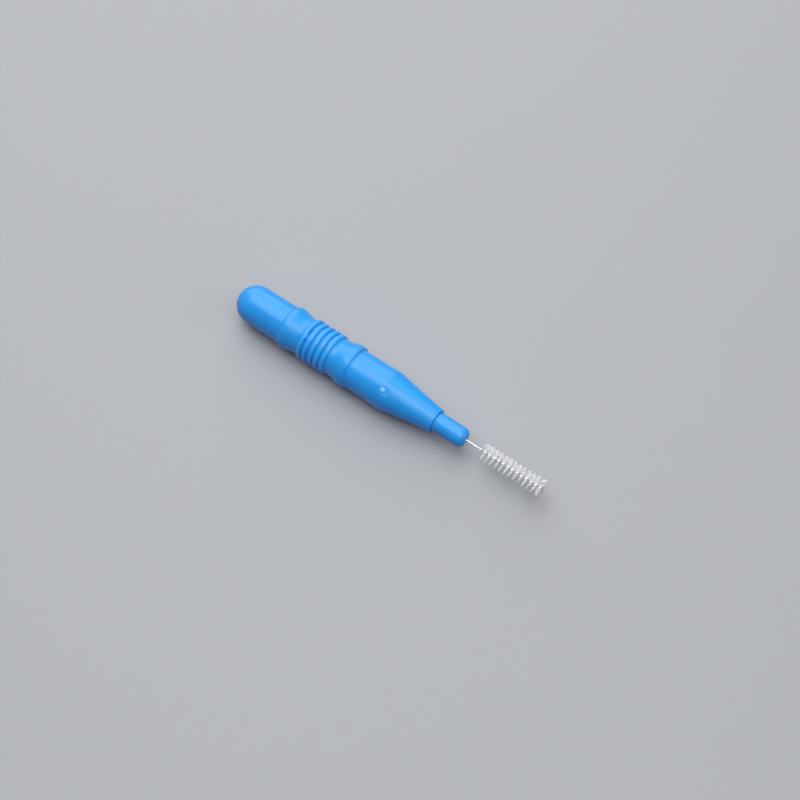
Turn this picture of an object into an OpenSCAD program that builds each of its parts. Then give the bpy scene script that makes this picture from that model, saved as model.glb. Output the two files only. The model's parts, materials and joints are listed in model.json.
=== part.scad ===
// Push-pull interdental brush: a grip sleeve, a sliding plunger with a domed tail and a
// nozzle, a folded and twisted wire in the nozzle, and nylon filaments held in the twist.
// Millimetres. The axis lies along X with the brush at +X, and Z = 0 is the surface that
// the brush lies on. All pieces are drawn in the pushed-out state, ready for use.

/* [Tail] */
// Diameter of the tail knob
tail_d = 5.76; // [5.6:0.02:6.4]
// Length of the tail knob from the end of its dome to its front face
tail_len = 8.8; // [6:0.1:12]
// Radius of the small round at the tail's front edge
tail_edge_r = 0.15; // [0.05:0.05:0.3]

/* [Collar] */
// Diameter of the collar's crest
collar_d = 6.44; // [6.2:0.02:7.2]
// Diameter of the collar's rear face
collar_rear_d = 5.9; // [5.6:0.02:6.1]
// Length of the rounded rise from the rear face to the crest
collar_rise = 0.45; // [0.3:0.05:0.8]
// Width of the collar's crest
collar_land = 0.4; // [0.2:0.05:0.8]
// Length of the cone from the crest down to the neck
collar_fall = 1.7; // [1:0.1:3]

/* [Neck and ribs] */
// Diameter of the plain neck behind and before the ribs
neck_d = 5.58; // [5.2:0.02:5.9]
// Diameter at the bottom of the grooves between the ribs
groove_d = 5.8; // [5.4:0.02:6]
// Diameter of the ribs' crests
rib_d = 6.3; // [6:0.02:6.8]
// Number of finger ribs
rib_count = 5; // [3:1:7]
// Distance from one rib to the next
rib_pitch = 1.01; // [0.9:0.01:1.3]
// Width of one rib at its foot
rib_w = 0.88; // [0.5:0.02:0.88]
// Distance from the collar's cone to the first rib's crest
neck_rear_len = 1.24; // [0.6:0.02:2]
// Distance from the last rib's crest to the flare
neck_front_len = 0.82; // [0.5:0.02:2]

/* [Flange] */
// Diameter of the flange's crest
flange_d = 6.54; // [6.3:0.02:7.2]
// Length of the flare from the neck up to the flange
flare_len = 2.4; // [1.5:0.1:4]
// Width of the flange's crest
flange_land = 0.45; // [0.3:0.05:1.2]
// Length of the rounded step from the flange down to the barrel
flange_step = 0.39; // [0.1:0.01:0.6]

/* [Barrel and cone] */
// Diameter of the barrel just before the flange
barrel_root_d = 5.84; // [5.6:0.02:6.1]
// Diameter of the barrel at its shoulder
shoulder_d = 6.06; // [5.8:0.02:6.2]
// Length of the barrel from the flange to the shoulder
barrel_len = 5.92; // [4:0.02:8]
// Length of the cone from the shoulder to the mouth
cone_len = 7.94; // [7:0.02:12]
// Outer diameter at the mouth
mouth_d = 3.56; // [3.5:0.02:4]
// Radius of the small round at the mouth's outer edge
mouth_edge_r = 0.1; // [0.05:0.01:0.12]

/* [Gate mark] */
// Distance of the gate mark behind the shoulder
gate_back = 0.14; // [0:0.02:2]
// Angle of the gate mark from straight up, turned toward -Y
gate_angle = 30.5; // [0:0.5:180]
// Diameter of the shallow dimple round the gate
dimple_d = 1.4; // [1:0.05:1.8]
// Depth of the dimple
dimple_depth = 0.12; // [0.05:0.01:0.2]
// Diameter of the gate's nub in the dimple
nub_d = 0.5; // [0.3:0.05:0.8]
// Height of the nub over the bottom of the dimple
nub_h = 0.1; // [0.05:0.01:0.12]

/* [Parting plane] */
// Angle of the mould's parting plane from straight up, turned toward -Y
parting_angle = 120; // [0:1:180]

/* [Slide] */
// Diameter of the plunger's rod
rod_d = 3.5; // [3.2:0.05:3.6]
// Diameter of the snap ring that stops the rod in the sleeve
ring_d = 4.02; // [3.9:0.02:4.1]
// Length of the snap ring, with its lead-in cone
ring_len = 1; // [0.8:0.05:1.2]
// Length of the lip in the sleeve's rear that the ring stops at
lip_len = 1.2; // [0.8:0.1:1.8]
// Running clearance all round the rod, the ring and the nozzle
slide_gap = 0.05; // [0.04:0.01:0.08]
// Gap between the tail's face and the sleeve's rear face
seam_gap = 0.05; // [0.02:0.01:0.1]
// How far the brush's tip ends inside the mouth when it is drawn in
tuck_in = 0.15; // [0.05:0.05:0.3]
// Depth of the click grooves near both ends of the rod
click_depth = 0.1; // [0.05:0.01:0.14]
// Width of a click groove
click_w = 0.4; // [0.3:0.05:0.5]

/* [Nozzle] */
// Diameter of the nozzle
nozzle_d = 2.87; // [2.8:0.01:2.96]
// Length of the nozzle that stands out of the mouth
nozzle_out = 4.9; // [4:0.1:7]
// Radius of the nozzle's rounded nose
nose_r = 0.9; // [0.5:0.05:1.05]

/* [Wire] */
// Diameter of the wire
wire_d = 0.19; // [0.16:0.01:0.2]
// Length of bare twisted wire between the nozzle and the filaments
bare_len = 2.6; // [1:0.1:4]
// Length of the wire that is moulded into the nozzle
anchor_len = 4.2; // [3:0.1:5]
// Advance of the bare twist in one turn
bare_pitch = 0.72; // [0.7:0.02:1.2]
// Width of the loop at the wire's fold
fold_w = 0.28; // [0.26:0.01:0.32]

/* [Filaments] */
// Length of the wire that carries filaments
brush_len = 9.9; // [6:0.1:10]
// Diameter of the brush over the filaments
brush_d = 2.6; // [2:0.05:2.7]
// Advance of the twist in one turn where it holds filaments
brush_pitch = 1.49; // [1.4:0.01:2]
// Diameter of one filament at its end
filament_d = 0.036; // [0.03:0.001:0.04]
// Advance along the wire from one filament to the next
filament_pitch = 0.0475; // [0.046:0.0005:0.056]
// Thickness of the pinched filaments between the wire's legs
pinch_t = 0.04; // [0.03:0.005:0.05]

/* [Hidden] */

// Stations along the axis, counted from the end of the tail's dome
sleeve_x = tail_len + seam_gap;
collar_x = sleeve_x + collar_rise;
neck_x = collar_x + collar_land + collar_fall;
first_rib_x = neck_x + neck_rear_len;
flare_x = first_rib_x + (rib_count - 1) * rib_pitch + neck_front_len;
flange_x = flare_x + flare_len;
barrel_x = flange_x + flange_land + flange_step;
shoulder_x = barrel_x + barrel_len;
mouth_x = shoulder_x + cone_len;
nose_x = mouth_x + nozzle_out;
brush_x = nose_x + bare_len;
total_len = brush_x + brush_len;
axis_z = flange_d / 2;

// The slide: how far it travels, and where its ring and its bores lie
travel = nozzle_out + bare_len + brush_len + tuck_in;
lip_x = sleeve_x + lip_len;
ring_x = lip_x + travel + seam_gap;
bore_end_x = ring_x + ring_len + seam_gap;
lip_bore_d = rod_d + 2 * slide_gap;
ring_bore_d = ring_d + 2 * slide_gap;
nozzle_bore_d = nozzle_d + 2 * slide_gap;
bore_taper = ring_bore_d / 2 - nozzle_bore_d / 2;
bead_x = sleeve_x + lip_len / 2;
bead_h = slide_gap / 2;
ring_lead = ring_len / 2;

// The wire: two legs on a double helix, wider apart where they pinch the filaments
leg_r = wire_d / 2;
leg_gap = wire_d / 20;
bare_r = leg_r + leg_gap / 2;
brush_r = leg_r + pinch_t / 2 + leg_gap;
fold_r = fold_w / 2;
fold_x = nose_x - anchor_len;
wire_len = anchor_len + bare_len + brush_len;
wire_hole_r = bare_r + leg_r + leg_gap;
fold_hole_r = fold_r + leg_r + leg_gap;
lead_len = 4 * wire_d;
bare_rate = 360 / bare_pitch;
brush_rate = 360 / brush_pitch;
brush_start = anchor_len + bare_len;
// Twist in degrees per millimetre, and the legs' distance from the axis, along the wire
twist_knots = [
    [0, 0],
    [lead_len, bare_rate],
    [brush_start - lead_len, bare_rate],
    [brush_start, brush_rate],
    [wire_len, brush_rate]
];
spread_knots = [
    [0, fold_r],
    [lead_len, bare_r],
    [brush_start - lead_len, bare_r],
    [brush_start, brush_r],
    [wire_len, brush_r]
];
turn_step = 36;
wire_sides = 6;
fold_steps = 6;

// The filaments: pairs of strands on the edges of the thin pinched web, which ends so far
// behind the wire's tip that the last strands, which lean forward, stay behind it too
tip_lean_share = 0.15;
tip_lean = tip_lean_share * brush_d;
web_end = tip_lean + filament_d;
cell_count = floor((brush_len - web_end) / filament_pitch);
web_half = brush_r + leg_r / 2;
tip_cells = 14;
trim_share = 0.05;

// Shares of the cone's length and drop: it falls faster just after the shoulder
cone_bulge_share = 0.2;
curve_steps = 12;
arc_steps = 6;
smooth = 96;

// Puts a shape that is drawn along Z, from the end of the tail, on the brush's own axis,
// so that its X points straight up
module on_axis() {
    translate([-total_len / 2, 0, axis_z])
        rotate([0, -90, 180])
            children();
}

// Points of an arc in the plane of [radius, station]
function arc(r, x, size, from, to) = [
    for (i = [0 : arc_steps])
        let (a = from + (to - from) * i / arc_steps)
        [r + size * cos(a), x + size * sin(a)]
];

// Points of a rounded rise or fall between two diameters, a quarter of an ellipse
function quarter(r, x, high, long, from, to) = [
    for (i = [0 : arc_steps])
        let (a = from + (to - from) * i / arc_steps)
        [r + high * cos(a), x + long * sin(a)]
];

function rib(i) = quarter(
    groove_d / 2, first_rib_x + i * rib_pitch, (rib_d - groove_d) / 2, rib_w / 2, -90, 90
);

// The cone's outline, from the shoulder to the mouth's round
function cone_fall(u) = u + cone_bulge_share * u * (1 - u);
function cone_points() = [
    for (i = [1 : curve_steps - 1])
        let (u = i / curve_steps)
        [shoulder_d / 2 - cone_fall(u) * (shoulder_d - mouth_d) / 2, shoulder_x + u * cone_len]
];

// Rises and falls with rounded ends
function s_curve(u) = u * u * (3 - 2 * u);

// The flare's outline, from the neck up to the flange
function flare_points() = [
    for (i = [1 : curve_steps])
        let (u = i / curve_steps)
        [neck_d / 2 + s_curve(u) * (flange_d - neck_d) / 2, flare_x + u * flare_len]
];

// The step's outline, from the flange down to the barrel
function step_points() = [
    for (i = [0 : curve_steps])
        let (u = i / curve_steps)
        [
            flange_d / 2 - s_curve(u) * (flange_d - barrel_root_d) / 2,
            flange_x + flange_land + u * flange_step
        ]
];

// Outside of the grip sleeve from its rear face to its mouth
function sleeve_outside() = concat(
    quarter(
        collar_rear_d / 2, collar_x, (collar_d - collar_rear_d) / 2, collar_rise, -90, 0
    ),
    [[collar_d / 2, collar_x + collar_land]],
    [[neck_d / 2, neck_x]],
    [[neck_d / 2, first_rib_x - rib_w / 2]],
    [for (i = [0 : rib_count - 1]) each rib(i)],
    [[neck_d / 2, flare_x]],
    flare_points(),
    step_points(),
    [[shoulder_d / 2, shoulder_x]],
    cone_points(),
    arc(mouth_d / 2 - mouth_edge_r, mouth_x - mouth_edge_r, mouth_edge_r, 0, 90)
);

// Inside of the grip sleeve from its mouth back to its rear face
function sleeve_inside() = [
    [nozzle_bore_d / 2, mouth_x],
    [nozzle_bore_d / 2, bore_end_x + bore_taper],
    [ring_bore_d / 2, bore_end_x],
    [ring_bore_d / 2, lip_x],
    [lip_bore_d / 2, lip_x],
    [lip_bore_d / 2, bead_x + click_w / 2],
    [lip_bore_d / 2 - bead_h, bead_x],
    [lip_bore_d / 2, bead_x - click_w / 2],
    [lip_bore_d / 2, sleeve_x]
];

module grip_sleeve() {
    mark_x = shoulder_x - gate_back;
    bowl_r = (pow(dimple_d / 2, 2) + pow(dimple_depth, 2)) / (2 * dimple_depth);
    floor_r = shoulder_d / 2 - dimple_depth;
    color([0.13, 0.5, 0.93])
        on_axis() {
            difference() {
                rotate([0, 0, parting_angle])
                    rotate_extrude($fn = smooth)
                        polygon(concat(sleeve_outside(), sleeve_inside()));
                rotate([0, 0, gate_angle])
                    translate([floor_r + bowl_r, 0, mark_x])
                        sphere(r = bowl_r, $fn = smooth);
            }
            rotate([0, 0, gate_angle])
                translate([floor_r - nub_h, 0, mark_x])
                    rotate([0, 90, 0])
                        cylinder(d = nub_d, h = 2 * nub_h, $fn = smooth);
        }
}

// A groove across the rod at a station, as points of its outline
function click_groove(x) = [
    [rod_d / 2, x - click_w / 2],
    [rod_d / 2 - click_depth, x],
    [rod_d / 2, x + click_w / 2]
];

// Outline of the plunger with its blind hole for the wire, from the dome to the hole
function plunger_outline() = concat(
    arc(0, tail_d / 2, tail_d / 2, -90, 0),
    arc(tail_d / 2 - tail_edge_r, tail_len - tail_edge_r, tail_edge_r, 0, 90),
    [[rod_d / 2, tail_len]],
    click_groove(bead_x),
    click_groove(bead_x + travel),
    [
        [rod_d / 2, ring_x],
        [ring_d / 2, ring_x],
        [ring_d / 2, ring_x + ring_len - ring_lead],
        [nozzle_d / 2, ring_x + ring_len]
    ],
    arc(nozzle_d / 2 - nose_r, nose_x - nose_r, nose_r, 0, 90),
    [
        [wire_hole_r, nose_x],
        [wire_hole_r, fold_x + lead_len],
        [fold_hole_r, fold_x + lead_len],
        [fold_hole_r, fold_x - fold_hole_r],
        [0, fold_x - fold_hole_r]
    ]
);

module plunger() {
    color([0.15, 0.53, 0.95])
        on_axis()
            rotate([0, 0, parting_angle])
                rotate_extrude($fn = smooth)
                    polygon(plunger_outline());
}

// Turn of the twist at a distance from the fold, summed over the stretches between knots
function turned(x, i = 0) =
    i >= len(twist_knots) - 1 ? 0 :
    let (
        a = twist_knots[i],
        b = twist_knots[i + 1],
        along = min(max(x - a[0], 0), b[0] - a[0]),
        gain = (b[1] - a[1]) / (b[0] - a[0])
    )
    along * (a[1] + gain * along / 2) + turned(x, i + 1);

// Distances from the fold at which the wire gets a ring, close where it turns fast
function stations() = concat(
    [
        for (i = [0 : len(twist_knots) - 2])
            let (
                a = twist_knots[i][0],
                b = twist_knots[i + 1][0],
                count = max(1, ceil((turned(b) - turned(a)) / turn_step))
            )
            each [for (j = [0 : count - 1]) a + (b - a) * j / count]
    ],
    [wire_len]
);

// A point beside the axis: station, distance out and distance across at an angle
function spot(x, out, across, a) = [
    out * cos(a) - across * sin(a),
    out * sin(a) + across * cos(a),
    x
];

// One ring of the wire about a point, square to its way: out and side are its two axes
function ring_at(p, out, side) = [
    for (k = [0 : wire_sides - 1])
        let (a = 360 * (k + 0.5) / wire_sides)
        p + leg_r * (cos(a) * out + sin(a) * side)
];

// Slides the points of a ring along a wire's way until they lie in the plane at x
function cut_square(ring, x, along) = [for (q = ring) q - along * (q.z - x) / along.z];

// A ring on one leg at a distance x from the fold; way is -1 toward the fold and 1 away
function leg_ring(x, leg, way) =
    let (
        a = -turned(x) + 180 * leg,
        r = lookup(x, spread_knots),
        slope = -r * lookup(x, twist_knots) * PI / 180,
        out = spot(0, 1, 0, a),
        along = way * spot(1, 0, slope, a) / norm([1, slope]),
        side = cross(along, out),
        ring = ring_at(spot(x, r, 0, a), out, side)
    )
    x < wire_len ? ring : cut_square(ring, x, along);

// A ring on the half circle that joins the legs at the fold
function fold_ring(b) =
    let (
        out = spot(-sin(b), cos(b), 0, 0),
        along = spot(-cos(b), -sin(b), 0, 0),
        side = cross(along, out)
    )
    ring_at(spot(-fold_r * sin(b), fold_r * cos(b), 0, 0), out, side);

// Triangles that join each ring of a tube to the next, and close its two ends
function tube_faces(rings, sides) = concat(
    [
        for (i = [0 : rings - 2])
            for (k = [0 : sides - 1])
                let (
                    a = i * sides + k,
                    b = i * sides + (k + 1) % sides
                )
                each [[a, b + sides, b], [a, a + sides, b + sides]]
    ],
    [for (k = [1 : sides - 2]) [0, k, k + 1]],
    [
        for (k = [1 : sides - 2])
            let (last = (rings - 1) * sides)
            [last, last + k + 1, last + k]
    ]
);

module twisted_wire() {
    line = stations();
    rings = concat(
        [for (i = [len(line) - 1 : -1 : 0]) leg_ring(line[i], 0, -1)],
        [for (i = [1 : fold_steps - 1]) fold_ring(180 * i / fold_steps)],
        [for (x = line) leg_ring(x, 1, 1)]
    );
    color([0.8, 0.81, 0.83])
        on_axis()
            translate([0, 0, fold_x])
                polyhedron(
                    points = [for (ring = rings) each ring],
                    faces = tube_faces(len(rings), wire_sides),
                    convexity = 10
                );
}

// Four corners of the pinched web at a distance x from the fold, across the legs' line
function web_ring(x) =
    let (a = 90 - turned(x))
    [
        spot(x, web_half, pinch_t / 2, a),
        spot(x, web_half, -pinch_t / 2, a),
        spot(x, -web_half, -pinch_t / 2, a),
        spot(x, -web_half, pinch_t / 2, a)
    ];

// How far a strand leans toward the tip at its end: only the last few lean
function lean(i) = tip_lean * pow(max(0, i + tip_cells - cell_count) / tip_cells, 2);

// Four corners of a strand's end in cell i, on the side that out points to
function strand_end(i, out, trims) =
    let (
        x = brush_start + (i + 0.5) * filament_pitch,
        a = 90 - turned(x),
        reach = out * (brush_d / 2) * (1 - trim_share * trims[i]),
        half = filament_d / 2,
        low = x + lean(i) - half,
        high = x + lean(i) + half
    )
    [
        spot(low, reach, out * half, a),
        spot(low, reach, -out * half, a),
        spot(high, reach, -out * half, a),
        spot(high, reach, out * half, a)
    ];

// A strand grows from the web's edge between two stations: four corners of each, in turn
function strand_faces(root, end) = concat(
    [
        for (k = [0 : 3])
            let (n = (k + 1) % 4)
            each [[root[k], root[n], end[n]], [root[k], end[n], end[k]]]
    ],
    [[end[0], end[1], end[2]], [end[0], end[2], end[3]]]
);

module filaments() {
    trims_near = rands(0, 1, cell_count, 7);
    trims_far = rands(0, 1, cell_count, 11);
    web_count = 4 * (cell_count + 1);
    points = concat(
        [for (i = [0 : cell_count]) each web_ring(brush_start + i * filament_pitch)],
        [
            for (i = [0 : cell_count - 1])
                each concat(strand_end(i, 1, trims_near), strand_end(i, -1, trims_far))
        ]
    );
    faces = concat(
        [[0, 3, 2], [0, 2, 1]],
        [
            for (i = [0 : cell_count - 1])
                let (
                    w = 4 * i,
                    n = w + 4,
                    e = web_count + 8 * i
                )
                each concat(
                    [
                        [w + 1, w + 2, n + 2],
                        [w + 1, n + 2, n + 1],
                        [w + 3, w, n],
                        [w + 3, n, n + 3]
                    ],
                    strand_faces([w, w + 1, n + 1, n], [e, e + 1, e + 2, e + 3]),
                    strand_faces([w + 2, w + 3, n + 3, n + 2], [e + 4, e + 5, e + 6, e + 7])
                )
        ],
        let (w = 4 * cell_count)
        [[w, w + 1, w + 2], [w, w + 2, w + 3]]
    );
    color([0.94, 0.95, 0.96])
        on_axis()
            translate([0, 0, fold_x])
                polyhedron(points = points, faces = faces, convexity = 10);
}

grip_sleeve();
plunger();
twisted_wire();
filaments();
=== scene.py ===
import bpy
import json
import math
import random
from mathutils import Matrix, Vector, noise


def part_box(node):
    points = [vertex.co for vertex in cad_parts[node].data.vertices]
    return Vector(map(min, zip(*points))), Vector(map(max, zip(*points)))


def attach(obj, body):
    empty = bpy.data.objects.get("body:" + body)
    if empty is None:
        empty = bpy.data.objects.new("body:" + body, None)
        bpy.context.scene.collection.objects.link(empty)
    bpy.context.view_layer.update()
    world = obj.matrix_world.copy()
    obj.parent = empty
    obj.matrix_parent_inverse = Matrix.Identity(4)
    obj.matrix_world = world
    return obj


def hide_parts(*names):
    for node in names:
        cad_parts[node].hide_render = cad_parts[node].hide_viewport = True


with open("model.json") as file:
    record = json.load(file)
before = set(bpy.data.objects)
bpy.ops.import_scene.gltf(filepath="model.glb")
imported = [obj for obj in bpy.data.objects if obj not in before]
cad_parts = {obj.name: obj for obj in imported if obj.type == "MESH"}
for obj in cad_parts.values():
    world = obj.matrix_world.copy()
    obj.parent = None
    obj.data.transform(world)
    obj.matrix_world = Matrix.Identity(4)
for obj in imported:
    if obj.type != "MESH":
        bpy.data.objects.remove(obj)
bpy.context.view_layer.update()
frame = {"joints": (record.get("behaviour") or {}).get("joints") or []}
mm = 0.001

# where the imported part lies: the tail's end, the nozzle's end and the height of the axis
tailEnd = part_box("plunger")[0].x
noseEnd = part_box("plunger")[1].x
axisHeight = (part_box("grip_sleeve")[0].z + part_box("grip_sleeve")[1].z) / 2
slideTravel = frame["joints"][0]["range_m"][1]


def addObject(name, data):
    made = bpy.data.objects.new(name, data)
    bpy.context.scene.collection.objects.link(made)
    return made


def turnBy(degrees, axis):
    return Matrix.Rotation(math.radians(degrees), 4, axis)


def clamped(value):
    return max(0, min(1, value))


def between(ends, share):
    # the share is a number or a shader socket
    low, high = ends
    return low + (high - low) * share


# camera and light

cameraLook = {
    "place": (59.24, -71.59, 178.67),   # millimetres, in the part's frame
    "aim": (3.02, 0.115, 3.27),
    "roll": -2.015,
    "lens": 64.5, "sensor": 36,
    "clip": (0.005, 10),                # metres
    "photoSide": 800,
    "axisPixels": (4.5, -0.4),          # the lens axis, right of the picture's centre and below it
}


def makeCamera(look):
    data = bpy.data.cameras.new("photoCamera")
    data.lens = look["lens"]
    data.sensor_width = look["sensor"]
    data.clip_start, data.clip_end = look["clip"]
    right, below = look["axisPixels"]
    data.shift_x = -right / look["photoSide"]
    data.shift_y = below / look["photoSide"]
    camera = addObject("photoCamera", data)
    place = Vector(look["place"]) * mm
    aim = Vector(look["aim"]) * mm
    turn = (aim - place).to_track_quat("-Z", "Y").to_matrix().to_4x4()
    camera.matrix_world = Matrix.Translation(place) @ turn @ turnBy(look["roll"], "Z")
    bpy.context.scene.camera = camera


# each lamp is tilted from straight up toward +Y, then swung toward the tail;
# degrees, metres and watts
lightLook = {
    "canopy": {"tilt": -5, "swing": -36, "away": 0.55, "size": (0.8, 0.66), "power": 2.35},
    "strip": {"tilt": -5, "swing": 0, "away": 0.42, "size": (0.5, 0.24), "power": 0.6},
    "side": {"tilt": 52, "swing": 44, "away": 0.5, "size": (0.6, 0.5), "power": 1.6},
    "front": {"tilt": -68, "swing": 104, "away": 0.5, "size": (0.4, 0.4), "power": 0.6},
}


def makeLights(look):
    for name, one in look.items():
        data = bpy.data.lights.new(name, "AREA")
        data.shape = "RECTANGLE"
        data.size, data.size_y = one["size"]
        data.energy = one["power"]
        turn = turnBy(one["swing"], "Z") @ turnBy(-one["tilt"], "X")
        place = turn @ Vector((0, 0, one["away"])) + Vector((0, 0, axisHeight))
        addObject(name, data).matrix_world = Matrix.Translation(place) @ turn


# shader sockets that can be added, multiplied and mixed like numbers

class Flow:
    def __init__(self, tree, plug=None):
        self.tree = tree
        self.plug = plug

    def node(self, kind, settings=None, values=None, out=0):
        made = self.tree.nodes.new("ShaderNode" + kind)
        for name, value in (settings or {}).items():
            setattr(made, name, value)
        for name, value in (values or {}).items():
            if isinstance(value, Flow):
                self.tree.links.new(value.plug, made.inputs[name])
            else:
                made.inputs[name].default_value = value
        return Flow(self.tree, made.outputs[out])

    def combine(self, how, first, second):
        kinds = [side.plug.type for side in (first, second) if isinstance(side, Flow)]
        if "RGBA" in kinds:
            values = {0: 1.0, 6: asColour(first), 7: asColour(second)}
            return self.node("Mix", {"data_type": "RGBA", "blend_type": how}, values, 2)
        if "VECTOR" in kinds:
            values = {0: asVector(first), 1: asVector(second)}
            return self.node("VectorMath", {"operation": how}, values)
        return self.node("Math", {"operation": how}, {0: first, 1: second})

    def __add__(self, other):
        return self.combine("ADD", self, other)

    def __radd__(self, other):
        return self.combine("ADD", other, self)

    def __sub__(self, other):
        return self.combine("SUBTRACT", self, other)

    def __rsub__(self, other):
        return self.combine("SUBTRACT", other, self)

    def __mul__(self, other):
        return self.combine("MULTIPLY", self, other)

    def __rmul__(self, other):
        return self.combine("MULTIPLY", other, self)

    def within(self, low, high):
        settings = {"interpolation_type": "SMOOTHSTEP"}
        return self.node("MapRange", settings, {"Value": self, "From Min": low, "From Max": high})

    def blend(self, first, second):
        values = {0: self, 6: asColour(first), 7: asColour(second)}
        return self.node("Mix", {"data_type": "RGBA"}, values, 2)


def asColour(value):
    if isinstance(value, Flow):
        return value
    return (*value, 1) if isinstance(value, tuple) else (value, value, value, 1)


def asVector(value):
    return value if isinstance(value, (Flow, tuple)) else (value, value, value)


def ownPlace(flow):
    return flow.node("TexCoord", None, None, "Object")


def stored(flow, name):
    # a value that addValues put on the piece's points
    return flow.node("Attribute", {"attribute_name": name}, None, "Fac")


def rays(flow, kind):
    return flow.node("LightPath", None, None, kind)


def noiseAt(flow, where, scale, detail=2.0, rough=0.5):
    values = {"Vector": where, "Scale": scale, "Detail": detail, "Roughness": rough}
    return flow.node("TexNoise", None, values)


def bumped(flow, height, strength=1.0):
    # the height is in metres
    return flow.node("Bump", None, {"Strength": strength, "Distance": 1.0, "Height": height})


def newMaterial(name, sockets):
    # the sockets that are the same all over the piece get their values here
    material = bpy.data.materials.new(name)
    material.use_nodes = True
    shader = material.node_tree.nodes["Principled BSDF"]
    for socket, value in sockets.items():
        shader.inputs[socket].default_value = value
    return material, Flow(material.node_tree), shader


def feed(flow, shader, **links):
    sockets = {"colour": "Base Color", "roughness": "Roughness", "normal": "Normal"}
    for name, value in links.items():
        flow.tree.links.new(value.plug, shader.inputs[sockets[name]])


worldLook = {
    "colour": (0.93, 0.96, 1.0),
    "strength": 0.06,                   # of its light on the part
    "seen": 0.55,                       # of the backdrop
    "mirrored": 0.95,                   # of the dome that gloss and metal show
    "dome": (-1.0, 0.8),                # heights at which that dome starts and is full
}


def makeWorld(look):
    world = bpy.data.worlds.new("softStudio")
    world.use_nodes = True
    back = world.node_tree.nodes["Background"]
    back.inputs["Color"].default_value = (*look["colour"], 1)
    flow = Flow(world.node_tree)
    seen = rays(flow, "Is Camera Ray") + rays(flow, "Is Transmission Ray")
    mirrored = rays(flow, "Is Glossy Ray")
    height = flow.node("SeparateXYZ", None, {0: flow.node("TexCoord", None, None, "Generated")}, "Z")
    dome = height.within(*look["dome"]) * look["mirrored"]
    strength = look["strength"] + seen * (look["seen"] - look["strength"])
    strength = strength + mirrored * (dome - look["strength"])
    world.node_tree.links.new(strength.plug, back.inputs["Strength"])
    bpy.context.scene.world = world


floorLook = {
    "side": 1.6,
    "colour": (0.365, 0.375, 0.397),
    "mottle": 0.015, "mottleScale": 60,
    "bounce": (0.045, 0.06, 0.2),       # what it throws back onto the part
    "roughness": (0.45, 0.55),
    "shader": {"Specular IOR Level": 0.35},
}


def makeFloor(look):
    half = look["side"] / 2
    corners = [(-half, -half, 0), (half, -half, 0), (half, half, 0), (-half, half, 0)]
    data = bpy.data.meshes.new("floor")
    data.from_pydata(corners, [], [(0, 1, 2, 3)])
    floor = addObject("floor", data)
    material, flow, shader = newMaterial("paleFloor", look["shader"])
    mottle = noiseAt(flow, ownPlace(flow), look["mottleScale"], detail=4.0)
    darker, paler = [tuple(c * (1 + way * look["mottle"]) for c in look["colour"]) for way in (-1, 1)]
    seen = rays(flow, "Is Camera Ray") + rays(flow, "Is Glossy Ray") + rays(flow, "Is Transmission Ray")
    shown = flow.node("Clamp", None, {"Value": seen})
    colour = shown.blend(look["bounce"], mottle.blend(darker, paler))
    feed(flow, shader, colour=colour, roughness=between(look["roughness"], mottle))
    data.materials.append(material)


# the three materials of the brush; heights are in metres

plasticLook = {
    "blue": (0.006, 0.318, 0.83),       # the moulded pigment
    "paintedGrooveShade": (0.004, 0.24, 0.78),        # painted shade in the grooves
    "stubWhiteAndHighlight": (0.24, 0.66, 1.0),         # where the gate was snapped off: the stub's whitened plastic plus a painted highlight on it
    "thin": (0.016, 0.37, 0.84),        # painted glow on the crests, for light let through where they are thin
    "cloud": 0.2, "cloudScale": 420,    # how much the pigment varies, and how closely
    "speck": 0.05, "speckScale": 9000,
    "roughness": (0.21, 0.255), "wearScale": 600,
    "peel": 0.0000012, "peelScale": 900,    # the moulding ripple
    "scuff": 0.0000001,
    "scuffScale": (2600.0, 300.0, 300.0),   # close along the handle, long round it
    "scuffEdge": (0.5, 0.75),
    "scuffDull": 0.01,                  # how much rougher a scuff is
    "shader": {
        "IOR": 1.46, "Subsurface Weight": 0.15, "Subsurface Scale": 0.0007,
        "Subsurface Radius": (0.25, 0.6, 1.0),
    },
}


def bluePlastic(name, look, shift):
    material, flow, shader = newMaterial(name, look["shader"])
    where = ownPlace(flow) + shift
    cloud = noiseAt(flow, where, look["cloudScale"], detail=3.0)
    speck = noiseAt(flow, where, look["speckScale"])
    tone = 1 + (cloud - 0.5) * look["cloud"] + (speck - 0.5) * look["speck"]
    # the rib crests get a painted glow, as if lit through
    colour = stored(flow, "crest").blend(look["blue"], look["thin"])
    # the grooves get painted shade
    colour = stored(flow, "groove").blend(colour, look["paintedGrooveShade"])
    # the gate's stub: whitened plastic plus a painted highlight
    colour = stored(flow, "snapped").blend(colour, look["stubWhiteAndHighlight"]) * tone
    # fine scuffs run round the handle, where fingers turn it
    scuff = noiseAt(flow, where * look["scuffScale"], 1.0, rough=0.6).within(*look["scuffEdge"])
    wear = noiseAt(flow, where, look["wearScale"])
    roughness = between(look["roughness"], wear) + scuff * look["scuffDull"]
    peel = noiseAt(flow, where, look["peelScale"], detail=1.0)
    height = peel * look["peel"] + scuff * look["scuff"]
    feed(flow, shader, colour=colour, roughness=roughness, normal=bumped(flow, height))
    return material


steelLook = {
    "bright": (0.95, 0.955, 0.96),
    "dull": (0.74, 0.75, 0.77),
    "streakStretch": (0.6, 14.0), "streakScale": 3.0,   # along the wire and round it
    "streakShare": 0.6, "patchScale": 2500,
    "contrast": (0.35, 0.65),           # where the mixed noise is all dull, and all bright
    "paintedLegShade": (0.06, 0.06, 0.065),      # painted shade between the two legs
    "paintedLegShadeEdge": (0.1, 0.5),
    "roughness": (0.17, 0.26),
    "drawn": 0.0000035,                 # the marks of the drawing die
    "shader": {"Metallic": 1.0},
}


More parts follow.
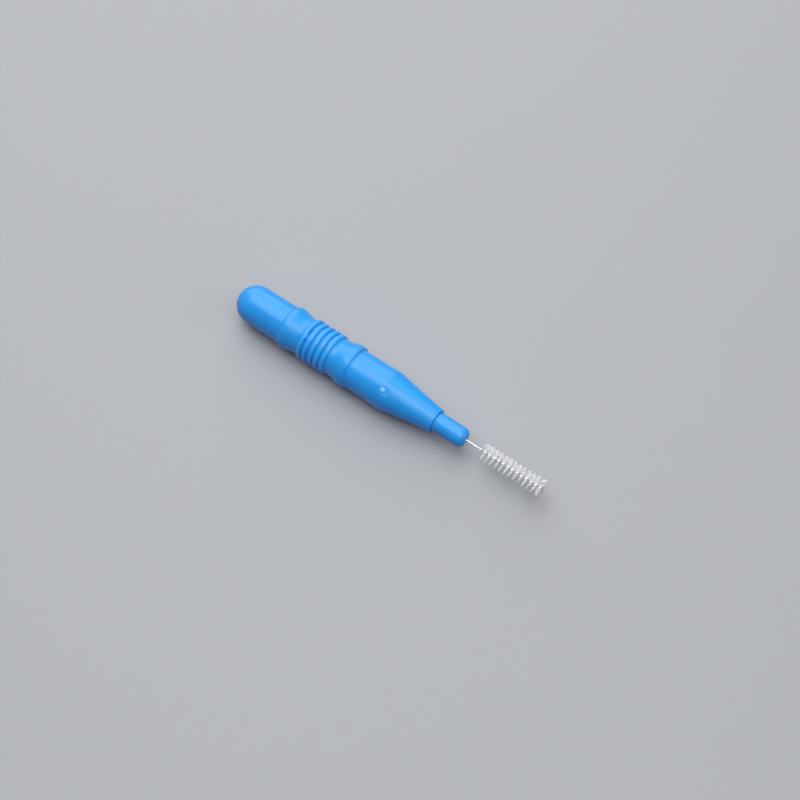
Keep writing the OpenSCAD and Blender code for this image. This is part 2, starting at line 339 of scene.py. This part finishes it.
def drawnSteel(name, look):
    material, flow, shader = newMaterial(name, look["shader"])
    along, around = look["streakStretch"]
    lay = {0: stored(flow, "along") * along, 1: stored(flow, "around") * around}
    streak = flow.node("CombineXYZ", None, lay)
    streak = noiseAt(flow, streak, look["streakScale"], detail=3.0, rough=0.6)
    patch = noiseAt(flow, ownPlace(flow), look["patchScale"], detail=3.0)
    share = look["streakShare"]
    polish = (streak * share + patch * (1 - share)).within(*look["contrast"])
    # the sides of the legs that face each other get painted shade
    paintedLegShade = stored(flow, "inner").within(*look["paintedLegShadeEdge"])
    colour = paintedLegShade.blend(polish.blend(look["dull"], look["bright"]), look["paintedLegShade"])
    bump = bumped(flow, streak * look["drawn"])
    feed(flow, shader, colour=colour, roughness=between(look["roughness"], patch), normal=bump)
    return material


nylonLook = {
    "root": (0.95, 0.955, 0.965), "rootTo": 0.35,       # shares of a filament's length
    "milk": (0.975, 0.98, 0.985),
    "cut": (0.99, 0.99, 0.99), "cutFrom": 0.93,
    "tone": (0.86, 1.06),               # from the darkest filament to the lightest
    "roughness": (0.3, 0.5),
    "grain": 0.000002, "grainScale": 12000, "grainStrength": 0.6,
    "shader": {
        "IOR": 1.53, "Subsurface Weight": 0.25, "Subsurface Scale": 0.00006,
        "Subsurface Radius": (1.0, 1.0, 1.0),
    },
}


def milkyNylon(name, look):
    material, flow, shader = newMaterial(name, look["shader"])
    reach = stored(flow, "reach")
    own = stored(flow, "own")
    colour = reach.within(0.0, look["rootTo"]).blend(look["root"], look["milk"])
    colour = reach.within(look["cutFrom"], 1.0).blend(colour, look["cut"])
    colour = colour * between(look["tone"], own)
    grain = noiseAt(flow, ownPlace(flow), look["grainScale"])
    bump = bumped(flow, grain * look["grain"], look["grainStrength"])
    feed(flow, shader, colour=colour, roughness=between(look["roughness"], own), normal=bump)
    return material


# a piece as a mesh, with its body, node and slot

def meshPiece(name, verts, faces, body, node, material):
    data = bpy.data.meshes.new(name)
    data.from_pydata([tuple(v) for v in verts], [], faces)
    data.validate()
    data.shade_smooth()
    data.materials.append(material)
    piece = addObject(name, data)
    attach(piece, body)
    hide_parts(node)
    print(name, len(data.vertices), "points")
    return piece


def addValues(piece, **lists):
    for name, values in lists.items():
        layer = piece.data.attributes.new(name, "FLOAT", "POINT")
        layer.data.foreach_set("value", values)


# turned pieces: corners of (radius, station, fillet) in millimetres, swept round the axis

turningLook = {
    "filletSteps": 6,
    "filletShare": 0.45,                # of the shorter side of a corner, for its fillet at most
    "samePoint": 0.002,                 # points nearer than this are one
    "sameAngle": 0.1,                   # degrees
}


def arc(radius, station, high, far, start, end, steps=14):
    points = []
    for i in range(steps + 1):
        a = math.radians(start + (end - start) * i / steps)
        points.append((radius + high * math.cos(a), station + far * math.sin(a), 0))
    return points


def eased(startR, endR, station, length, steps):
    # a soft S from one radius to the other, without its two ends
    points = []
    for i in range(1, steps):
        u = i / steps
        points.append((startR + u * u * (3 - 2 * u) * (endR - startR), station + u * length, 0))
    return points


def rounded(corners):
    points = []
    for i, (r, s, fillet) in enumerate(corners):
        here = Vector((r, s))
        if fillet <= 0 or i in (0, len(corners) - 1):
            points.append(here)
            continue
        back = Vector(corners[i - 1][:2]) - here
        ahead = Vector(corners[i + 1][:2]) - here
        share = turningLook["filletShare"]
        reach = min(fillet, back.length * share, ahead.length * share)
        first = here + back.normalized() * reach
        last = here + ahead.normalized() * reach
        for k in range(turningLook["filletSteps"] + 1):
            t = k / turningLook["filletSteps"]
            points.append(first * (1 - t) ** 2 + here * 2 * t * (1 - t) + last * t * t)
    return points


def divided(points, look):
    # straight runs are cut into short ones, finer where they show
    dense = [points[0]]
    for p in points[1:]:
        start = dense[-1]
        gap = (p - start).length
        if gap < turningLook["samePoint"]:
            continue
        shown = look["outer"](p) or look["outer"](start)
        cuts = math.ceil(gap / (look["step"] if shown else look["innerStep"]))
        dense += [start.lerp(p, k / cuts) for k in range(1, cuts + 1)]
    return dense


def turnAngles(look):
    # even steps, with fine ones at the parting lines, the gate mark and the dents
    angles = {round(i * 360 / look["segments"], 3) for i in range(look["segments"])}
    fine = [(centre, *look["partingFine"]) for centre in look["partingAt"]]
    fine += [(look[mark]["angle"], *look[mark]["fine"]) for mark in ("gate", "nicks") if mark in look]
    for centre, count, step in fine:
        angles |= {round((centre + k * step) % 360, 3) for k in range(-count, count + 1)}
    kept = []
    for a in sorted(angles):
        if not kept or a - kept[-1] > turningLook["sameAngle"]:
            kept.append(a)
    return kept


def crestAndGroove(look, p):
    # 0 to 1 up a rib's side, and the same down into the grooves beside it: the masks for the painted
    # glow on the crests and the painted shade in the grooves
    if "ribbed" not in look or not look["outer"](p):
        return 0, 0
    start, end = look["ribbed"]
    inside = clamped(min(p.y - start, end - p.y) / look["ribFade"])
    up = clamped((p.x - look["grooveR"]) / (look["ribR"] - look["grooveR"]))
    return inside * up, inside * (1 - up)


def acrossFrom(angle, p, a):
    # millimetres round the surface, from that angle to the point at a
    return math.radians((a - angle + 180) % 360 - 180) * p.x


def fromNub(gate, p, a):
    # 0 in the middle of the gate's stub, 1 at its edge
    return math.hypot(acrossFrom(gate["angle"], p, a), p.y - gate["station"]) / gate["nub"]


def surfaceLift(look, p, a, point):
    # the small departures of a real moulding from its drawing, in millimetres
    if not look["outer"](p):
        return 0
    lift = -look["ripple"] * (0.5 + 0.5 * noise.noise(point * look["rippleScale"]))
    for centre in look["partingAt"]:
        off = acrossFrom(centre, p, a) / look["partingWidth"]
        lift += look["partingHeight"] * math.exp(-off * off)
    if "nicks" in look:
        # a few dents between the first two ribs
        nicks = look["nicks"]
        for angle in nicks["dents"]:
            across = acrossFrom(angle, p, a)
            off = math.hypot(across / nicks["wide"], (p.y - nicks["station"]) / nicks["half"])
            lift -= nicks["depth"] * max(0, 1 - off * off)
    if "gate" in look:
        # a shallow bowl with the snapped stub in it
        gate = look["gate"]
        length, width = gate["bowl"]
        along = p.y - gate["station"] - gate["bowlAhead"]
        bowl = math.hypot(acrossFrom(gate["angle"], p, a) / width, along / length)
        nub = fromNub(gate, p, a)
        lift -= gate["depth"] * max(0, 1 - bowl * bowl) ** gate["bowlCurve"]
        lift += gate["height"] * max(0, 1 - nub * nub) ** gate["nubCurve"]
    return lift


def snappedAt(look, p, a):
    # how much of the stub's whitening and painted highlight shows, most in its middle
    if "gate" not in look or not look["outer"](p):
        return 0
    gate = look["gate"]
    return gate["stubWhiteAndHighlight"] * clamped(gate["whiteEdge"] * (1 - fromNub(gate, p, a)))


def turned(name, corners, look, closed, body, node, material):
    outline = divided(rounded(corners), look)
    if closed:
        outline.pop()                   # it is the first point again
    angles = turnAngles(look)
    columns = len(angles)
    verts, rows, crest, groove, snapped = [], [], [], [], []
    for p in outline:
        onAxis = p.x < turningLook["samePoint"]
        up, down = crestAndGroove(look, p)
        row = []
        for a in angles[:1] if onAxis else angles:
            turn = math.radians(a)
            out = Vector((0, -math.sin(turn), math.cos(turn)))
            point = Vector((p.y, 0, 0)) + out * p.x
            radius = 0 if onAxis else (p.x + surfaceLift(look, p, a, point)) * mm
            row.append(len(verts))
            verts.append((tailEnd + p.y * mm, out.y * radius, axisHeight + out.z * radius))
            crest.append(up)
            groove.append(down)
            snapped.append(snappedAt(look, p, a))
        rows.append(row * columns if onAxis else row)
    if closed:
        rows.append(rows[0])
    faces = []
    for low, high in zip(rows, rows[1:]):
        for k in range(columns):
            n = (k + 1) % columns
            # on the axis two corners are one, and the face has three
            faces.append(list(dict.fromkeys((low[k], low[n], high[n], high[k]))))
    piece = meshPiece(name, verts, faces, body, node, material)
    addValues(piece, crest=crest, groove=groove, snapped=snapped)


# grip sleeve, from its collar at the tail to its mouth at the nozzle

sleeveLook = {
    "seam": 8.85,                       # station of its rear face
    "rearR": 2.95, "collarR": 3.22, "collarRise": 0.45, "collarLand": 0.4, "collarFall": 1.7,
    "collarFrom": -80,                  # degrees, where its rounded rear edge starts
    "neckR": 2.79, "neckRear": 1.24, "neckFront": 0.82,
    "grooveR": 2.9, "ribR": 3.15, "ribs": 5, "ribPitch": 1.01, "ribWidth": 0.88,
    "ribbed": (11.95, 17.3), "ribFade": 0.2,            # stations of the painted glow on the ribs and the painted shade in the grooves
    "flangeR": 3.27, "flare": 2.4, "flareSteps": 16, "flangeLand": 0.45,
    "flangeStep": 0.39, "flangeSteps": 12, "rootR": 2.92, "barrel": 5.92,
    "shoulderR": 3.03, "cone": 7.94, "coneBulge": 0.2, "coneSteps": 24, "mouthR": 1.78,
    "boreR": 1.485, "taper": 0.575, "chamberR": 2.06, "chamberEnd": 28.75, "lipR": 1.8, "lip": 1.2,
    "fillets": {
        "collar": 0.25, "neckRear": 0.5, "rib": 0.08, "neckFront": 0.3, "flange": 0.1, "root": 0.05,
        "shoulder": 0.6, "mouth": 0.12, "bore": 0.06, "taper": 0.1, "lip": 0.05, "rear": 0.06,
    },
    "outer": lambda p: p.x > 2.3 or p.y > 30,           # the outside, and the bore near the mouth
    "segments": 138, "step": 0.155, "innerStep": 1.0,
    "ripple": 0.008, "rippleScale": 0.42,
    "partingAt": (120, 300), "partingHeight": 0.014, "partingWidth": 0.035,
    "partingFine": (8, 0.22),                           # steps each way, and degrees in each
    "gate": {
        "angle": 30.5, "station": 26.52, "fine": (20, 0.8),
        "nub": 0.42, "height": 0.11, "nubCurve": 0.7, "stubWhiteAndHighlight": 0.9, "whiteEdge": 1.6,
        "bowl": (1.0, 0.8), "bowlAhead": 0.35, "depth": 0.1, "bowlCurve": 1.5,
    },
    "nicks": {
        "angle": 12.8, "station": 13.12, "fine": (20, 1.6), "dents": (-7, 1, 9, 33),
        "half": 0.3, "wide": 0.28, "depth": 0.17,
    },
    "grainShift": (0.0, 0.0, 0.0),
}


def sleeveCorners(look):
    fillets = look["fillets"]
    at = look["seam"] + look["collarRise"]
    rise = look["collarR"] - look["rearR"]
    corners = [(look["rearR"], look["seam"], 0)]
    corners += arc(look["rearR"], at, rise, look["collarRise"], look["collarFrom"], 0)
    at += look["collarLand"]
    corners.append((look["collarR"], at, fillets["collar"]))
    at += look["collarFall"]
    corners.append((look["neckR"], at, fillets["neckRear"]))
    at += look["neckRear"]
    corners.append((look["neckR"], at - look["ribWidth"] / 2, fillets["rib"]))
    high = look["ribR"] - look["grooveR"]
    for i in range(look["ribs"]):
        corners += arc(look["grooveR"], at + i * look["ribPitch"], high, look["ribWidth"] / 2, -90, 90)
    at += (look["ribs"] - 1) * look["ribPitch"] + look["neckFront"]
    corners.append((look["neckR"], at, fillets["neckFront"]))
    corners += eased(look["neckR"], look["flangeR"], at, look["flare"], look["flareSteps"])
    at += look["flare"]
    corners.append((look["flangeR"], at, fillets["flange"]))
    at += look["flangeLand"]
    corners += eased(look["flangeR"], look["rootR"], at, look["flangeStep"], look["flangeSteps"])
    at += look["flangeStep"]
    corners.append((look["rootR"], at, fillets["root"]))
    at += look["barrel"]
    corners.append((look["shoulderR"], at, fillets["shoulder"]))
    for i in range(1, look["coneSteps"]):
        u = i / look["coneSteps"]
        fall = u + look["coneBulge"] * u * (1 - u)
        drop = fall * (look["shoulderR"] - look["mouthR"])
        corners.append((look["shoulderR"] - drop, at + u * look["cone"], 0))
    at += look["cone"]
    lipEnd = look["seam"] + look["lip"]
    corners += [
        (look["mouthR"], at, fillets["mouth"]),
        (look["boreR"], at, fillets["bore"]),
        (look["boreR"], look["chamberEnd"] + look["taper"], fillets["taper"]),
        (look["chamberR"], look["chamberEnd"], fillets["taper"]),
        (look["chamberR"], lipEnd, fillets["lip"]),
        (look["lipR"], lipEnd, fillets["lip"]),
        (look["lipR"], look["seam"], fillets["rear"]),
        (look["rearR"], look["seam"], 0),
    ]
    return corners


# plunger: domed tail, rod with click grooves and snap ring, nozzle with the wire's hole

plungerLook = {
    "tailR": 2.88, "tail": 8.8, "domeSteps": 40,
    "rodR": 1.75, "click": 0.1, "clickWidth": 0.4, "clickAt": 9.45,
    "ringR": 2.01, "ringAt": 27.65, "ring": 1.0,
    "nozzleR": 1.435, "nose": 39.5, "noseR": 0.9,
    "holeR": 0.215, "holeEnd": 35.0,
    "fillets": {
        "tail": 0.07, "rod": 0.08, "clickRim": 0.04, "click": 0.08,
        "ringRear": 0.03, "ring": 0.06, "hole": 0.04,
    },
    "outer": lambda p: p.x > 0.5,                       # all but the hole and the middle of both ends
    "segments": 144, "step": 0.14, "innerStep": 1.0,
    "ripple": 0.008, "rippleScale": 0.45,
    "partingAt": (120, 300), "partingHeight": 0.012, "partingWidth": 0.035,
    "partingFine": (8, 0.22),
    "grainShift": (0.31, 0.17, 0.05),
}


def plungerCorners(look):
    fillets = look["fillets"]
    tailR, rodR, noseR = look["tailR"], look["rodR"], look["noseR"]
    corners = arc(0, tailR, tailR, tailR, -90, 0, look["domeSteps"])
    corners += [(tailR, look["tail"], fillets["tail"]), (rodR, look["tail"], fillets["rod"])]
    half = look["clickWidth"] / 2
    for at in (look["clickAt"], look["clickAt"] + slideTravel / mm):
        corners += [
            (rodR, at - half, fillets["clickRim"]),
            (rodR - look["click"], at, fillets["click"]),
            (rodR, at + half, fillets["clickRim"]),
        ]
    corners += [
        (rodR, look["ringAt"], fillets["ringRear"]),
        (look["ringR"], look["ringAt"], fillets["ringRear"]),
        (look["ringR"], look["ringAt"] + look["ring"] / 2, fillets["ring"]),
        (look["nozzleR"], look["ringAt"] + look["ring"], fillets["ring"]),
    ]
    corners += arc(look["nozzleR"] - noseR, look["nose"] - noseR, noseR, noseR, 0, 90)
    corners += [
        (look["holeR"], look["nose"], fillets["hole"]),
        (look["holeR"], look["holeEnd"], 0),
        (0, look["holeEnd"], 0),
    ]
    return corners


# twisted wire: one wire, folded in the nozzle, both legs wound left-handed round each other

wireLook = {
    "legR": 0.095, "foldR": 0.14, "bareR": 0.0998, "brushR": 0.1245,
    "anchor": 4.2, "bare": 2.6, "brush": 9.9, "lead": 0.76,
    "barePitch": 0.72, "brushPitch": 1.49,
    "sides": 14, "turnStep": 9, "foldSteps": 16,
    "cutBack": 0.65, "cutR": 0.8,       # shares of a leg's radius
    "cutOut": 0.02, "cutStreak": 0.55,  # how far its cut ends bulge, and their place in the streaks
}
foldPlace = Vector((noseEnd - wireLook["anchor"] * mm, 0, axisHeight))

# by millimetres from the fold: the twist in degrees to the millimetre, and how far a leg lies
# from the axis
bareStart = wireLook["lead"]
brushStart = wireLook["anchor"] + wireLook["bare"]
bareEnd = brushStart - wireLook["lead"]
wireLength = brushStart + wireLook["brush"]
bareTwist = 360 / wireLook["barePitch"]
brushTwist = 360 / wireLook["brushPitch"]
twistKnots = [
    (0, 0), (bareStart, bareTwist), (bareEnd, bareTwist),
    (brushStart, brushTwist), (wireLength, brushTwist),
]
spreadKnots = [
    (0, wireLook["foldR"]), (bareStart, wireLook["bareR"]), (bareEnd, wireLook["bareR"]),
    (brushStart, wireLook["brushR"]), (wireLength, wireLook["brushR"]),
]


def twistAt(x):
    # degrees that the wire has turned since the fold
    total = 0
    for (x0, rate0), (x1, rate1) in zip(twistKnots, twistKnots[1:]):
        along = min(max(x - x0, 0), x1 - x0)
        total += along * (rate0 + (rate1 - rate0) * along / (2 * (x1 - x0)))
    return total


def valueAt(x, knots):
    for (x0, low), (x1, high) in zip(knots, knots[1:]):
        if x <= x1:
            return low + (high - low) * (x - x0) / (x1 - x0)
    return knots[-1][1]


def spot(x, out, across, degrees):
    # x runs from the fold to the tip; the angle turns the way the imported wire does
    a = math.radians(degrees)
    side = out * math.sin(a) + across * math.cos(a)
    up = -out * math.cos(a) + across * math.sin(a)
    return Vector((x, side, up))


def legRing(x, leg, way):
    # the wire's middle, the direction out from the axis, and the one in which the wire runs
    a = -twistAt(x) + 180 * leg
    r = valueAt(x, spreadKnots)
    slope = -r * math.radians(valueAt(x, twistKnots))
    return spot(x, r, 0, a), spot(0, 1, 0, a), way * spot(1, 0, slope, a).normalized()


def wireRings(look):
    stations = []
    for (x0, _), (x1, _) in zip(twistKnots, twistKnots[1:]):
        count = max(1, math.ceil((twistAt(x1) - twistAt(x0)) / look["turnStep"]))
        stations += [x0 + (x1 - x0) * k / count for k in range(count)]
    cutAt = wireLength - look["legR"] * look["cutBack"]
    stations = [x for x in stations if x < cutAt] + [cutAt]
    rings = [legRing(x, 0, -1) for x in reversed(stations)]
    for k in range(1, look["foldSteps"]):
        b = math.radians(180 * k / look["foldSteps"])
        middle = spot(-look["foldR"] * math.sin(b), look["foldR"] * math.cos(b), 0, 0)
        out = spot(-math.sin(b), math.cos(b), 0, 0)
        rings.append((middle, out, spot(-math.cos(b), -math.sin(b), 0, 0)))
    return rings + [legRing(x, 1, 1) for x in stations]


def ringPoints(ring, radius, angles):
    middle, out, way = ring
    side = way.cross(out)
    return [middle + radius * (math.cos(a) * out + math.sin(a) * side) for a in angles]


def makeWire(look, material):
    rings = wireRings(look)
    sides = look["sides"]
    angles = [2 * math.pi * (k + 0.5) / sides for k in range(sides)]
    points, faces, along, around, inner = [], [], [], [], []
    gone = 0
    for i, ring in enumerate(rings):
        if i:
            gone += (ring[0] - rings[i - 1][0]).length
        points += ringPoints(ring, look["legR"], angles)
        along += [gone] * sides
        around += [abs(k / sides * 2 - 1) for k in range(sides)]
        # how far each point faces the other leg: the mask for the steel's painted shade
        inner += [max(0, -math.cos(a)) for a in angles]
    for i in range(len(rings) - 1):
        for k in range(sides):
            a, b = i * sides + k, i * sides + (k + 1) % sides
            faces.append((a, b, b + sides, a + sides))
    for i, sign in ((0, -1), (len(rings) - 1, 1)):
        # a cut end: a narrower ring a little further out, then a cap
        base = len(points)
        bulge = rings[i][2] * sign * look["cutOut"]
        points += [p + bulge for p in ringPoints(rings[i], look["legR"] * look["cutR"], angles)]
        along += [0] * sides
        around += [look["cutStreak"]] * sides
        inner += [0] * sides
        for k in range(sides):
            n = (k + 1) % sides
            face = (i * sides + k, i * sides + n, base + n, base + k)
            faces.append(face if i else face[::-1])
        cap = tuple(range(base, base + sides))
        faces.append(cap if i else cap[::-1])
    verts = [foldPlace + p * mm for p in points]
    piece = meshPiece("wireTwist", verts, faces, "plunger", "twisted_wire", material)
    addValues(piece, along=along, around=around, inner=inner)


# filaments: pinched between the legs, so they fan out in a double helix

filamentLook = {
    "pairs": 340, "radius": 0.033, "tipRadius": 0.027, "reach": 1.3, "sides": 6, "joints": 5,
    "trim": 0.06, "scatter": 1.2, "drift": 0.01, "bow": 0.015, "seed": 12,
    "clump": 5, "gather": 0.5, "clumpTurn": 3.0, "clumpDrift": 0.02, "clumpShade": 0.6,
    "tipPairs": 22, "tipLean": 0.39, "tipCurve": 1.4, "tipSpread": (0.2, 1),
    "capPairs": 70, "capSpan": 0.3, "capBack": 0.2,
    "wingPairs": 100, "wingBack": (0.4, 0.75), "wingTurn": 0.5, "wingScatter": 7,
    "wingLean": (0.25, 1),
}


def strandPoints(look, x, out, lean, bow, degrees):
    # rings of points from the wire to the strand's end, in millimetres
    points = []
    for j in range(look["joints"] + 1):
        t = j / look["joints"]
        thick = between((look["radius"], look["tipRadius"]), t)
        middle = spot(x + lean * t * t, out * t, bow * t * t, degrees)
        for k in range(look["sides"]):
            turn = 2 * math.pi * k / look["sides"]
            rim = spot(0, 0, thick * math.cos(turn), degrees) + Vector((thick * math.sin(turn), 0, 0))
            points.append(middle + rim)
    return points


def strandFaces(look, base):
    faces = []
    sides = look["sides"]
    for j in range(look["joints"]):
        for k in range(sides):
            p, q = base + j * sides + k, base + j * sides + (k + 1) % sides
            faces.append((p, q, q + sides, p + sides))
    top = base + look["joints"] * sides
    faces.append(tuple(range(top, top + sides)))
    return faces


def makeFilaments(look, material):
    rng = random.Random(look["seed"])
    points, faces, reach, own = [], [], [], []
    end = wireLength - 2 * look["tipRadius"]
    run = end - look["tipLean"] - brushStart
    capFirst = look["pairs"]
    wingFirst = capFirst + look["capPairs"]
    for i in range(wingFirst + look["wingPairs"]):
        if i % look["clump"] == 0:
            # neighbours pinched together lean the same way, and so do their two ends
            clumpTurn = rng.gauss(0, look["clumpTurn"])
            clumpDrift = rng.gauss(0, look["clumpDrift"])
            clumpShade = rng.random()
            clumpX = brushStart + run * (i + look["clump"] / 2) / look["pairs"]
        x = brushStart + run * (i + 0.5) / look["pairs"]
        turnX = x + (clumpX - x) * look["gather"]
        late = max(0, i + look["tipPairs"] - look["pairs"]) / look["tipPairs"]
        spread = look["scatter"]
        if i >= capFirst:
            # the wire's cut end sits in loose filaments
            x = end - look["capSpan"] * rng.random()
            turnX = x
            late = 1
        if i >= wingFirst:
            # the last tuft leans forward on both sides, past the wire's end
            x = end - rng.uniform(*look["wingBack"])
            turnX = end - look["wingTurn"]
            spread = look["wingScatter"]
        for way in (1, -1):
            a = 90 - twistAt(turnX) + clumpTurn * (1 - late) + rng.gauss(0, spread)
            out = way * look["reach"] * (1 - look["trim"] * rng.random())
            lean = look["tipLean"] * late ** look["tipCurve"] * rng.uniform(*look["tipSpread"])
            lean += (clumpDrift + rng.gauss(0, look["drift"])) * (1 - late)
            if i >= capFirst:
                lean = rng.uniform(-look["capBack"], end - x)
            if i >= wingFirst:
                lean = rng.uniform(*look["wingLean"]) * (end - x)
            bow = rng.gauss(0, look["bow"])
            shade = between((rng.random(), clumpShade), look["clumpShade"])
            strand = strandFaces(look, len(points))
            faces += strand if way == -1 else [face[::-1] for face in strand]
            points += strandPoints(look, x, out, lean, bow, a)
            for j in range(look["joints"] + 1):
                reach += [j / look["joints"]] * look["sides"]
                own += [shade] * look["sides"]
    verts = [foldPlace + p * mm for p in points]
    piece = meshPiece("filamentRows", verts, faces, "plunger", "filaments", material)
    addValues(piece, reach=reach, own=own)


print("camera, light and floor")
makeCamera(cameraLook)
makeLights(lightLook)
makeWorld(worldLook)
makeFloor(floorLook)
bpy.context.scene.view_settings.view_transform = "Standard"

print("plastic")
sleevePlastic = bluePlastic("sleevePlastic", plasticLook, sleeveLook["grainShift"])
plungerPlastic = bluePlastic("plungerPlastic", plasticLook, plungerLook["grainShift"])
turned("gripSleeve", sleeveCorners(sleeveLook), sleeveLook, True,
       "sleeve", "grip_sleeve", sleevePlastic)
turned("plungerBody", plungerCorners(plungerLook), plungerLook, False,
       "plunger", "plunger", plungerPlastic)

print("wire and filaments")
makeWire(wireLook, drawnSteel("drawnSteel", steelLook))
makeFilaments(filamentLook, milkyNylon("milkyNylon", nylonLook))
